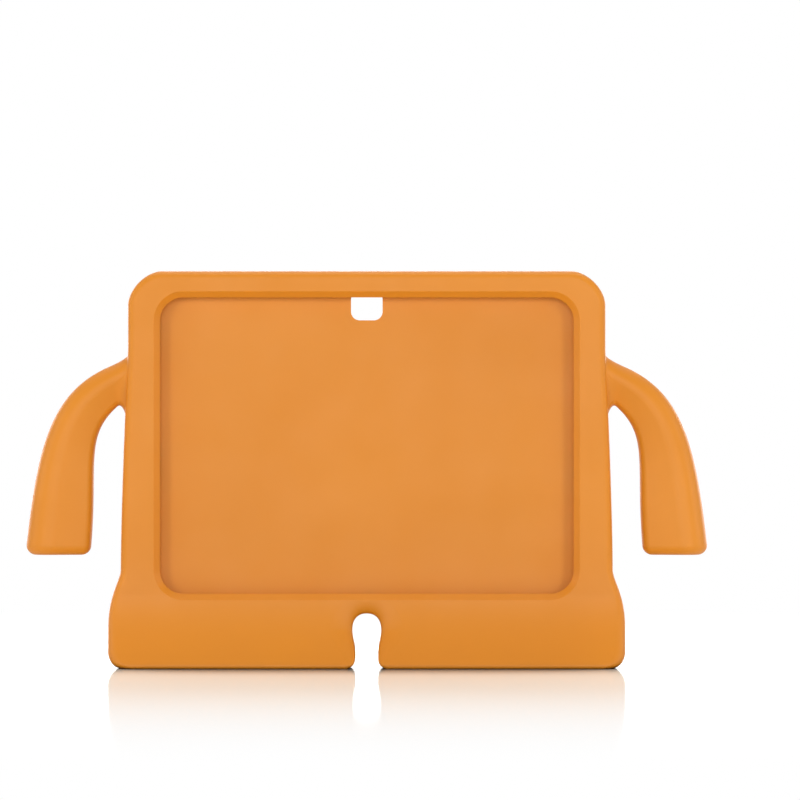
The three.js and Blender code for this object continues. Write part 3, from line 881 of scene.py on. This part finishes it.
def arm_tree():
    """Tree that sweeps a rounded section between two rails into an arm, and mirrors it into the other one"""
    tree = bpy.data.node_groups.new("swept_arms", "GeometryNodeTree")
    tree.is_modifier = True
    for kind, names in ARM_INPUTS.items():
        for name in names:
            tree.interface.new_socket(name, in_out="INPUT", socket_type=kind)
    tree.interface.new_socket("Arms", in_out="OUTPUT", socket_type="NodeSocketGeometry")
    given = add(tree, "NodeGroupInput").outputs
    grid = arm_grid(tree, given)
    run = arm_run(tree, given, grid)
    outer_rail, inner_rail = arm_rails(tree, given, run.share)
    section = arm_section(tree, given, run, outer_rail, inner_rail)
    aside, signed = arm_section_point(tree, given, grid, section)
    from_rail = add(tree, MATH, {0: section.middle, 1: aside}, operation="ADD")
    on_section = add(
        tree, VECTOR, {0: section.direction, 1: from_rail, 2: inner_rail}, operation="MULTIPLY_ADD"
    )
    back_set = add(tree, XYZ, {0: run.sunk, 1: signed, 2: run.lowered})
    point = add(tree, VECTOR, {0: on_section, 1: back_set}, operation="SUBTRACT")
    swept = add(tree, "GeometryNodeSetPosition", {"Geometry": grid.mesh, "Position": point})
    sleeve = add(tree, "GeometryNodeMergeByDistance", {"Geometry": swept, "Distance": MERGE_DISTANCE})
    mirrored = add(tree, "GeometryNodeTransform", {"Geometry": sleeve, "Scale": (-1.0, 1.0, 1.0)})
    flipped = add(tree, "GeometryNodeFlipFaces", {"Mesh": mirrored})
    both = add(tree, "GeometryNodeJoinGeometry", {"Geometry": sleeve})
    tree.links.new(flipped.outputs[0], both.inputs[0])
    real = add(tree, "GeometryNodeRealizeInstances", {"Geometry": both})
    painted = add(tree, "GeometryNodeSetMaterial", {"Geometry": real, "Material": given["Material"]})
    add(tree, "NodeGroupOutput", {0: painted})
    return tree


def arm_values(given, material):
    """Values of the arm tree's inputs by their names"""
    arms = given.arms
    top = given.height - arms.top_drop
    return {
        "Root side": float(side_half_width(given, top)),
        "Root top": top,
        "Root height": arms.root_height,
        "Root depth": arms.root_depth,
        "Root sink": arms.sink,
        "Reach": arms.reach,
        "Hand height": arms.hand_height,
        "Hand width": arms.hand_width,
        "Hand depth": arms.hand_depth,
        "Hand end radius": arms.end_radius,
        "Outer edge radius": arms.outer_edge,
        "Inner edge radius": arms.inner_edge,
        "Inner edge share": arms.inner_share,
        "Fillet share": arms.fillet_share,
        "Armpit fillet": arms.armpit_fillet,
        "Shoulder fillet": arms.shoulder_fillet,
        "Side fillet": arms.side_fillet,
        "Root rings": ARM_ROOT_STEPS,
        "Arm rings": ARM_STEPS,
        "End rings": HAND_END_STEPS,
        "Edge points": ARM_EDGE_STEPS,
        "Material": material,
        **ARM_BENDS,
    }


def evaluated_mesh(source):
    """Plain mesh of an object with its modifiers applied"""
    bpy.context.view_layer.update()
    seen = source.evaluated_get(bpy.context.evaluated_depsgraph_get())
    return bpy.data.meshes.new_from_object(seen)


def remove(*objects):
    """Deletes objects with their meshes"""
    for gone in objects:
        mesh = gone.data
        bpy.data.objects.remove(gone)
        bpy.data.meshes.remove(mesh)


# Materials

WHITE = (1.0, 1.0, 1.0, 1.0)
# Noise values between which a pattern runs from none to all
CLOUD_RANGE = (0.35, 0.65)
PATCH_RANGE = (0.3, 0.7)
# How far handling moves the rubber's roughness either way
PATCH_ROUGHNESS = 0.04
# Fineness and height of the grit beside those of the mould's pebbles
GRIT_FINENESS = 2.5
GRIT_HEIGHT = 0.5
RELIEF_STRENGTH = 0.35
SILICONE_IOR = 1.41


def moulded_silicone(name, finish, sheen):
    """Silicone rubber, compression moulded in a sand-blasted steel mould and left unpolished.
    It gives the eye an even, saturated colour, a soft wide sheen and a fine pebbled grain.
    The real grain is about 0.2 mm, and is drawn some four times as coarse so that it shows.
    Its copy with almost no sheen paints shade onto the walls of the camera hole."""
    material = bpy.data.materials.new(name)
    material.use_nodes = True
    material.diffuse_color = finish.base
    tree = material.node_tree
    tree.nodes.clear()
    place = add(tree, "ShaderNodeTexCoord").outputs["Object"]
    # Pigment lies a little denser in broad clouds, as where the rubber flowed together
    cloud = add(tree, NOISE, {"Vector": place, "Scale": 1 / finish.cloud, "Detail": 3.0})
    cloud_part = add(tree, REMAP, {0: cloud, 1: CLOUD_RANGE[0], 2: CLOUD_RANGE[1]})
    pigment = add(tree, MIX, {0: cloud_part, 6: finish.base, 7: finish.deep}, data_type="RGBA")
    # Handling leaves patches a little smoother than the rest
    patch = add(tree, NOISE, {"Vector": place, "Scale": 2 / finish.cloud, "Detail": 4.0})
    smoothest, roughest = finish.roughness - PATCH_ROUGHNESS, finish.roughness + PATCH_ROUGHNESS
    rough = add(
        tree, REMAP, {0: patch, 1: PATCH_RANGE[0], 2: PATCH_RANGE[1], 3: smoothest, 4: roughest}
    )
    # Pebbles of the blasted mould, with finer ones between them
    pebbles = add(
        tree, "ShaderNodeTexVoronoi", {"Vector": place, "Scale": 1 / finish.grain}, feature="SMOOTH_F1"
    )
    grit = add(tree, NOISE, {"Vector": place, "Scale": GRIT_FINENESS / finish.grain, "Detail": 2.0})
    grain = add(tree, MATH, {0: grit, 1: GRIT_HEIGHT, 2: pebbles}, operation="MULTIPLY_ADD")
    relief = add(
        tree,
        "ShaderNodeBump",
        {"Height": grain, "Strength": RELIEF_STRENGTH, "Distance": finish.grain_depth},
    )
    rubber = add(
        tree,
        "ShaderNodeBsdfPrincipled",
        {
            "Base Color": pigment.outputs[2],
            "Roughness": rough,
            "Normal": relief,
            "IOR": SILICONE_IOR,
            "Specular IOR Level": sheen,
        },
    )
    add(tree, "ShaderNodeOutputMaterial", {"Surface": rubber})
    return material


# Share of open sky over the floor: at the case's foot, and where its painted contact shadow ends
FOOT_SKY = 0.5
OPEN_SKY = 0.95
# Share of its light that the painted contact shadow leaves the floor at the case's foot
FOOT_LIGHT = 0.06
# The clear coat: its IOR, its roughness, and how fast its mirror image goes with a steeper view
COAT_IOR = 1.45
COAT_ROUGHNESS = 0.06
COAT_STEEPNESS = 3.0
# Linear colour of the paint under a full mirror image: the paint gives up light to the coat, and since blue
# goes first this also paints a warm tint near the case that stands in for the reflection's colour
UNDER_COAT = (0.16, 0.17, 0.0, 1.0)


def polished_floor(stage):
    """Pale painted board with a thin clear coat, which mirrors faintly close to the case.
    It gives the eye an even white ground with a contact shadow painted from ambient occlusion, besides the
    lamps' own shadows, and a reflection that fades out."""
    material = bpy.data.materials.new("painted_board")
    material.use_nodes = True
    tree = material.node_tree
    tree.nodes.clear()
    place = add(tree, "ShaderNodeTexCoord").outputs["Object"]
    away = add(tree, VECTOR, {0: place}, operation="LENGTH").outputs["Value"]
    # Painted shadow: an ambient occlusion node darkens the ground under and close round the case
    sky = add(tree, "ShaderNodeAmbientOcclusion", {"Distance": stage.contact}).outputs["AO"]
    painted_shadow_level = add(
        tree,
        REMAP,
        {0: sky, 1: FOOT_SKY, 2: OPEN_SKY, 3: FOOT_LIGHT},
        interpolation_type="SMOOTHSTEP",
    )
    # The coat mirrors at a glance along it, less with distance from the case, and hardly from above
    gloss_fade = add(
        tree,
        REMAP,
        {0: away, 1: stage.gloss_reach, 2: 0.0, 4: stage.gloss},
        interpolation_type="SMOOTHSTEP",
    )
    slant = add(tree, "ShaderNodeFresnel", {"IOR": COAT_IOR})
    steep = add(tree, MATH, {0: slant, 1: COAT_STEEPNESS}, operation="POWER")
    mirror = add(tree, MATH, {0: gloss_fade, 1: steep}, operation="MULTIPLY")
    # The mix partly paints a warm reflection tint where the mirror image is strongest
    under = add(tree, MIX, {0: mirror, 6: stage.floor, 7: UNDER_COAT}, data_type="RGBA")
    paint = add(tree, "ShaderNodeBsdfDiffuse", {"Color": under.outputs[2]})
    shadowed = add(tree, "ShaderNodeMixShader", {0: painted_shadow_level})
    tree.links.new(paint.outputs[0], shadowed.inputs[2])
    coat = add(tree, "ShaderNodeBsdfAnisotropic", {"Color": WHITE, "Roughness": COAT_ROUGHNESS})
    image = add(tree, "ShaderNodeMixShader", {0: mirror})
    tree.links.new(coat.outputs[0], image.inputs[2])
    board = add(tree, "ShaderNodeAddShader", {0: shadowed, 1: image})
    # Far from the case, the camera and mirrors see the board as plain white
    fade = add(
        tree,
        REMAP,
        {0: away, 1: stage.fade_start, 2: stage.fade_end},
        interpolation_type="SMOOTHSTEP",
    )
    path = add(tree, "ShaderNodeLightPath").outputs
    seen = add(tree, MATH, {0: path["Is Camera Ray"], 1: path["Is Glossy Ray"]}, operation="MAXIMUM")
    whitened = add(tree, MATH, {0: fade, 1: seen}, operation="MULTIPLY")
    white = add(tree, "ShaderNodeEmission", {"Color": WHITE, "Strength": 1.0})
    ground = add(tree, "ShaderNodeMixShader", {0: whitened, 1: board, 2: white})
    add(tree, "ShaderNodeOutputMaterial", {"Surface": ground})
    return material


def studio_world(stage):
    """White background for the camera, mirrors and clear things, and a weaker light for all others"""
    world = bpy.data.worlds.new("studio_white")
    world.use_nodes = True
    tree = world.node_tree
    tree.nodes.clear()
    path = add(tree, "ShaderNodeLightPath").outputs
    mirrored = add(
        tree, MATH, {0: path["Is Camera Ray"], 1: path["Is Glossy Ray"]}, operation="MAXIMUM"
    )
    seen = add(tree, MATH, {0: mirrored, 1: path["Is Transmission Ray"]}, operation="MAXIMUM")
    strength = add(tree, REMAP, {0: seen, 3: stage.ambient, 4: 1.0})
    light = add(tree, "ShaderNodeBackground", {"Color": WHITE, "Strength": strength})
    add(tree, "ShaderNodeOutputWorld", {"Surface": light})
    return world


def paint_hole_shade(mesh, given):
    """Gives the walls of the camera hole the mesh's second material, whose missing sheen paints shade on
    them
    """
    cuts = given.openings
    spread = cuts.camera_flare + cuts.camera_rim
    for face in mesh.polygons:
        x, y, z = face.center
        if (
            abs(x) < cuts.camera_width / 2 + spread
            and y > given.pocket.back - PAST
            and abs(z - given.camera_middle) < cuts.camera_height / 2 + spread
            and abs(face.normal.y) < HOLE_TURN
        ):
            face.material_index = 1


# Stage

# Lamps: place, width and height in metres, and power in watts; each looks at the case's middle.
# The two that stand low before and behind it also whiten the floor that mirrors them.
LAMPS = {
    "front_softbox": ((0.0, -4.4, 0.75), 1.7, 1.4, 58),
    "front_left_softbox": ((-1.45, -2.2, 0.5), 0.6, 0.9, 15),
    "front_right_softbox": ((1.45, -2.2, 0.5), 0.6, 0.9, 15),
    "left_softbox": ((-2.3, -0.3, 0.8), 0.6, 1.4, 12),
    "right_softbox": ((2.3, -0.3, 0.8), 0.6, 1.4, 12),
    "top_softbox": ((0.0, 0.4, 3.2), 3.0, 3.0, 68),
    "back_left_softbox": ((-1.45, 2.2, 0.5), 0.6, 0.9, 13),
    "back_right_softbox": ((1.45, 2.2, 0.5), 0.6, 0.9, 13),
    "back_softbox": ((0.0, 3.9, 2.3), 1.7, 1.4, 42),
    "back_low_softbox": ((0.0, 4.4, 0.75), 1.7, 1.4, 17),
}
# The floor: cells along a side, metres from its middle to a side, and how far under the soles it lies,
# so that no two faces share a plane
FLOOR_CELLS = 8
FLOOR_REACH = 6
FLOOR_DROP = 0.1 * MILLIMETRE
# Metres that the camera sees
CAMERA_REACH = 50


def aim(placed, place, target):
    """Puts a lamp or the camera at a place and turns it to a target"""
    placed.location = place
    placed.rotation_euler = (Vector(target) - Vector(place)).to_track_quat("-Z", "Y").to_euler()


# Operators

class TABLETCASE_OT_mould_frame(bpy.types.Operator):
    """Moulds the block of the frame and its feet, before anything is cut out of it"""

    bl_idname = "tablet_case.mould_frame"
    bl_label = "Mould the frame and feet"

    def execute(self, context):
        loft("frame_block", body_rings(settings(context)))
        return {"FINISHED"}


class TABLETCASE_OT_mould_arms(bpy.types.Operator):
    """Moulds both arms between their rails"""

    bl_idname = "tablet_case.mould_arms"
    bl_label = "Mould the arms"

    def execute(self, context):
        given = settings(context)
        sleeve = mesh_object("arm_rails", bpy.data.meshes.new("arm_rails"))
        modifier = sleeve.modifiers.new("Swept arms", "NODES")
        tree = arm_tree()
        values = arm_values(given, moulded_silicone(RUBBER_NAME, given.rubber, RUBBER_SHEEN))
        identifiers = {
            item.name: item.identifier
            for item in tree.interface.items_tree
            if item.item_type == "SOCKET" and item.in_out == "INPUT"
        }
        modifier.node_group = tree
        for name, value in values.items():
            modifier[identifiers[name]] = value
        mesh = evaluated_mesh(sleeve)
        remove(sleeve)
        shape = bmesh.new()
        shape.from_mesh(mesh)
        bmesh.ops.holes_fill(shape, edges=[edge for edge in shape.edges if edge.is_boundary], sides=0)
        closed_mesh(shape)
        shape.to_mesh(mesh)
        shape.free()
        mesh.name = "arm_pair"
        mesh_object("arm_pair", mesh)
        return {"FINISHED"}


class TABLETCASE_OT_cut_case(bpy.types.Operator):
    """Joins the arms to the frame and cuts the gap, the pocket, the window and all openings"""

    bl_idname = "tablet_case.cut_case"
    bl_label = "Join and cut the case"

    def execute(self, context):
        given = settings(context)
        block = bpy.data.objects["frame_block"]
        arms = bpy.data.objects["arm_pair"]
        cutters = [
            gap_cutter(given), pocket_cutter(given), window_cutter(given),
            camera_cutter(given), *wall_cutters(given),
        ]
        for operation, tools in (("UNION", [arms]), ("DIFFERENCE", cutters)):
            for tool in tools:
                cut = block.modifiers.new(tool.name, "BOOLEAN")
                cut.operation = operation
                cut.object = tool
                cut.solver = "MANIFOLD"
        mesh = evaluated_mesh(block)
        remove(block, arms, *cutters)
        shape = bmesh.new()
        shape.from_mesh(mesh)
        if not shape.faces or any(not edge.is_manifold for edge in shape.edges):
            raise RuntimeError("the cut case is not a closed solid")
        bmesh.ops.dissolve_degenerate(shape, edges=shape.edges, dist=MERGE_DISTANCE)
        shape.to_mesh(mesh)
        shape.free()
        mesh.materials.clear()
        mesh.materials.append(bpy.data.materials[RUBBER_NAME])
        # The second material paints shade onto the walls of the camera hole
        mesh.materials.append(moulded_silicone(SHADED_HOLE_RUBBER_NAME, given.rubber, HOLE_PAINTED_SHADE_SHEEN))
        mesh.polygons.foreach_set("material_index", [0] * len(mesh.polygons))
        paint_hole_shade(mesh, given)
        mesh.shade_smooth()
        mesh.set_sharp_from_angle(angle=SHARP_ANGLE)
        rough = mesh_object("case_rough", mesh)
        weighted = rough.modifiers.new("Even shading", "WEIGHTED_NORMAL")
        weighted.keep_sharp = True
        finished = evaluated_mesh(rough)
        remove(rough)
        finished.name = PIECE_NAME
        piece = mesh_object(PIECE_NAME, finished)
        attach(piece, CASE_BODY)
        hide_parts(CASE_NODE)
        return {"FINISHED"}


class TABLETCASE_OT_set_stage(bpy.types.Operator):
    """Sets the floor, the lamps, the white background and the camera"""

    bl_idname = "tablet_case.set_stage"
    bl_label = "Set the stage"

    def execute(self, context):
        given = settings(context)
        stage = given.stage
        shape = bmesh.new()
        bmesh.ops.create_grid(shape, x_segments=FLOOR_CELLS, y_segments=FLOOR_CELLS, size=FLOOR_REACH)
        bmesh.ops.translate(shape, verts=shape.verts, vec=(0, 0, -FLOOR_DROP))
        mesh = bpy.data.meshes.new("floor")
        shape.to_mesh(mesh)
        shape.free()
        mesh.materials.append(polished_floor(stage))
        mesh_object("floor", mesh)
        context.scene.world = studio_world(stage)
        middle = (0, 0, given.height / 2)
        for name, (place, width, height, power) in LAMPS.items():
            lamp = bpy.data.lights.new(name, "AREA")
            lamp.shape = "RECTANGLE"
            lamp.size = width
            lamp.size_y = height
            lamp.energy = power
            placed = bpy.data.objects.new(name, lamp)
            placed.visible_camera = False
            context.scene.collection.objects.link(placed)
            aim(placed, place, middle)
        data = bpy.data.cameras.new("camera")
        data.lens = data.sensor_width * stage.camera_distance / stage.view_width
        data.clip_end = CAMERA_REACH
        camera = bpy.data.objects.new("camera", data)
        context.scene.collection.objects.link(camera)
        place = Vector((stage.camera_side, -given.depth / 2 - stage.camera_distance, stage.camera_height))
        aim(camera, place, place + Vector((0, 1, 0)))
        context.scene.camera = camera
        context.scene.view_settings.view_transform = "Standard"
        return {"FINISHED"}


OPERATORS = (
    TABLETCASE_OT_mould_frame,
    TABLETCASE_OT_mould_arms,
    TABLETCASE_OT_cut_case,
    TABLETCASE_OT_set_stage,
)


class TABLETCASE_PT_case(bpy.types.Panel):
    """Sizes, colours and steps of the tablet case"""

    bl_idname = "TABLETCASE_PT_case"
    bl_label = "Tablet case"
    bl_space_type = "VIEW_3D"
    bl_region_type = "UI"
    bl_category = "Tablet case"

    def draw(self, context):
        for name, group in GROUPS.items():
            box = self.layout.box()
            box.label(text=group.__doc__)
            for key in group.__annotations__:
                box.prop(getattr(context.scene, f"tablet_case_{name}"), key)
        for operator in OPERATORS:
            self.layout.operator(operator.bl_idname)


def register():
    for made in (*GROUPS.values(), *OPERATORS, TABLETCASE_PT_case):
        bpy.utils.register_class(made)
    for name, group in GROUPS.items():
        setattr(bpy.types.Scene, f"tablet_case_{name}", bpy.props.PointerProperty(type=group))


def unregister():
    for name in GROUPS:
        delattr(bpy.types.Scene, f"tablet_case_{name}")
    for made in (TABLETCASE_PT_case, *reversed(OPERATORS), *reversed(GROUPS.values())):
        bpy.utils.unregister_class(made)


def main():
    register()
    bpy.ops.tablet_case.mould_frame()
    bpy.ops.tablet_case.mould_arms()
    bpy.ops.tablet_case.cut_case()
    bpy.ops.tablet_case.set_stage()


if __name__ == "__main__":
    main()
